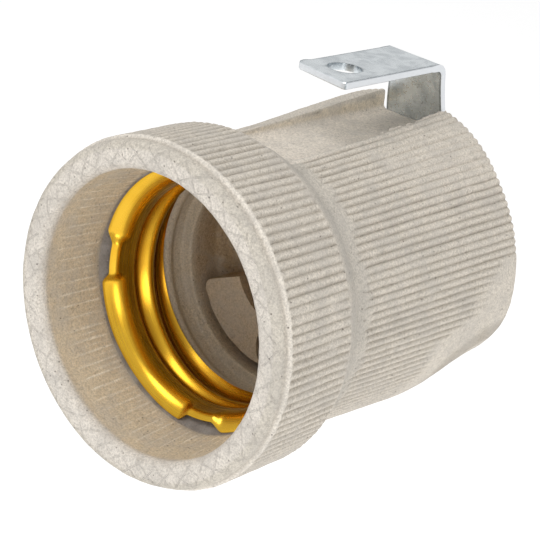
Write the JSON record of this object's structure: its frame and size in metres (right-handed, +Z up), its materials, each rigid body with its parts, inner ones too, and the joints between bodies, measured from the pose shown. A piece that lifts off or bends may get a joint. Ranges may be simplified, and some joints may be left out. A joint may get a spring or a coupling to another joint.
{
  "type": "ceramic lampholder",
  "caption": "Unglazed ceramic E27 screw lampholder with ribbed body, gold-coloured thread shell, rear screw terminals and a steel angle bracket to hang it by.",
  "frame": {"origin": "centre of the bracket's mounting hole, on the plate's upper face", "axes": "+Z up out of the bracket's plate, lamp axis along Y with the lamp mouth facing -Y, +X to the right seen from the mouth's side towards +Y"},
  "size_m": [0.0368, 0.0476, 0.0412],
  "materials": {
    "ceramic": "unglazed, rough, fine dark and pale specks",
    "gold_shell": "gold anodised, satin",
    "zinc_steel": "zinc plated, satin",
    "brass": "satin",
    "bronze": "satin",
    "contact_metal": "polished",
    "plated_screws": "zinc plated",
    "fibre": "pressed fibre"
  },
  "bodies": {
    "holder": {"porcelain_body": "ceramic", "lamp_thread_shell": "gold_shell", "mounting_bracket": "zinc_steel", "centre_contact_strip": "brass", "centre_contact_screw": "plated_screws", "centre_contact_washer": "plated_screws", "shell_contact_strip": "brass", "shell_contact_screw": "plated_screws", "shell_contact_washer": "plated_screws", "line_terminal_block": "brass", "neutral_terminal_block": "brass", "bracket_screw": "plated_screws", "bracket_screw_washer": "fibre", "bracket_lock_washer": "plated_screws", "bracket_nut": "plated_screws"},
    "centre_contact": {"centre_contact_spring": "bronze", "centre_contact_button": "contact_metal"},
    "line_clamp": {"line_clamp_plate": "plated_screws"},
    "line_screw": {"line_terminal_screw": "plated_screws"},
    "neutral_clamp": {"neutral_clamp_plate": "plated_screws"},
    "neutral_screw": {"neutral_terminal_screw": "plated_screws"}
  },
  "joints": [
    {"name": "centre_contact_flex", "type": "hinge", "parent": "holder", "child": "centre_contact", "pos_m": [0.0043, -0.0032, -0.0228], "axis": [0, 0, -1], "range_deg": [0, 15], "stiffness_Nm_per_rad": 0.06},
    {"name": "line_clamp_travel", "type": "slide", "parent": "holder", "child": "line_clamp", "axis": [0, 1, 0], "range_m": [0, 0.0015]},
    {"name": "line_screw_turn", "type": "hinge", "parent": "line_clamp", "child": "line_screw", "pos_m": [0.0084, 0.0065, -0.0188], "axis": [0, 1, 0], "range_deg": [0, 1080]},
    {"name": "neutral_clamp_travel", "type": "slide", "parent": "holder", "child": "neutral_clamp", "axis": [0, 1, 0], "range_m": [0, 0.0015]},
    {"name": "neutral_screw_turn", "type": "hinge", "parent": "neutral_clamp", "child": "neutral_screw", "pos_m": [-0.0046, 0.0065, -0.0312], "axis": [0, 1, 0], "range_deg": [0, 1080]}
  ],
  "couplings": [
    {"joint": "line_screw_turn", "follows": "line_clamp_travel", "rad_per_m": 12566},
    {"joint": "neutral_screw_turn", "follows": "neutral_clamp_travel", "rad_per_m": 12566}
  ]
}
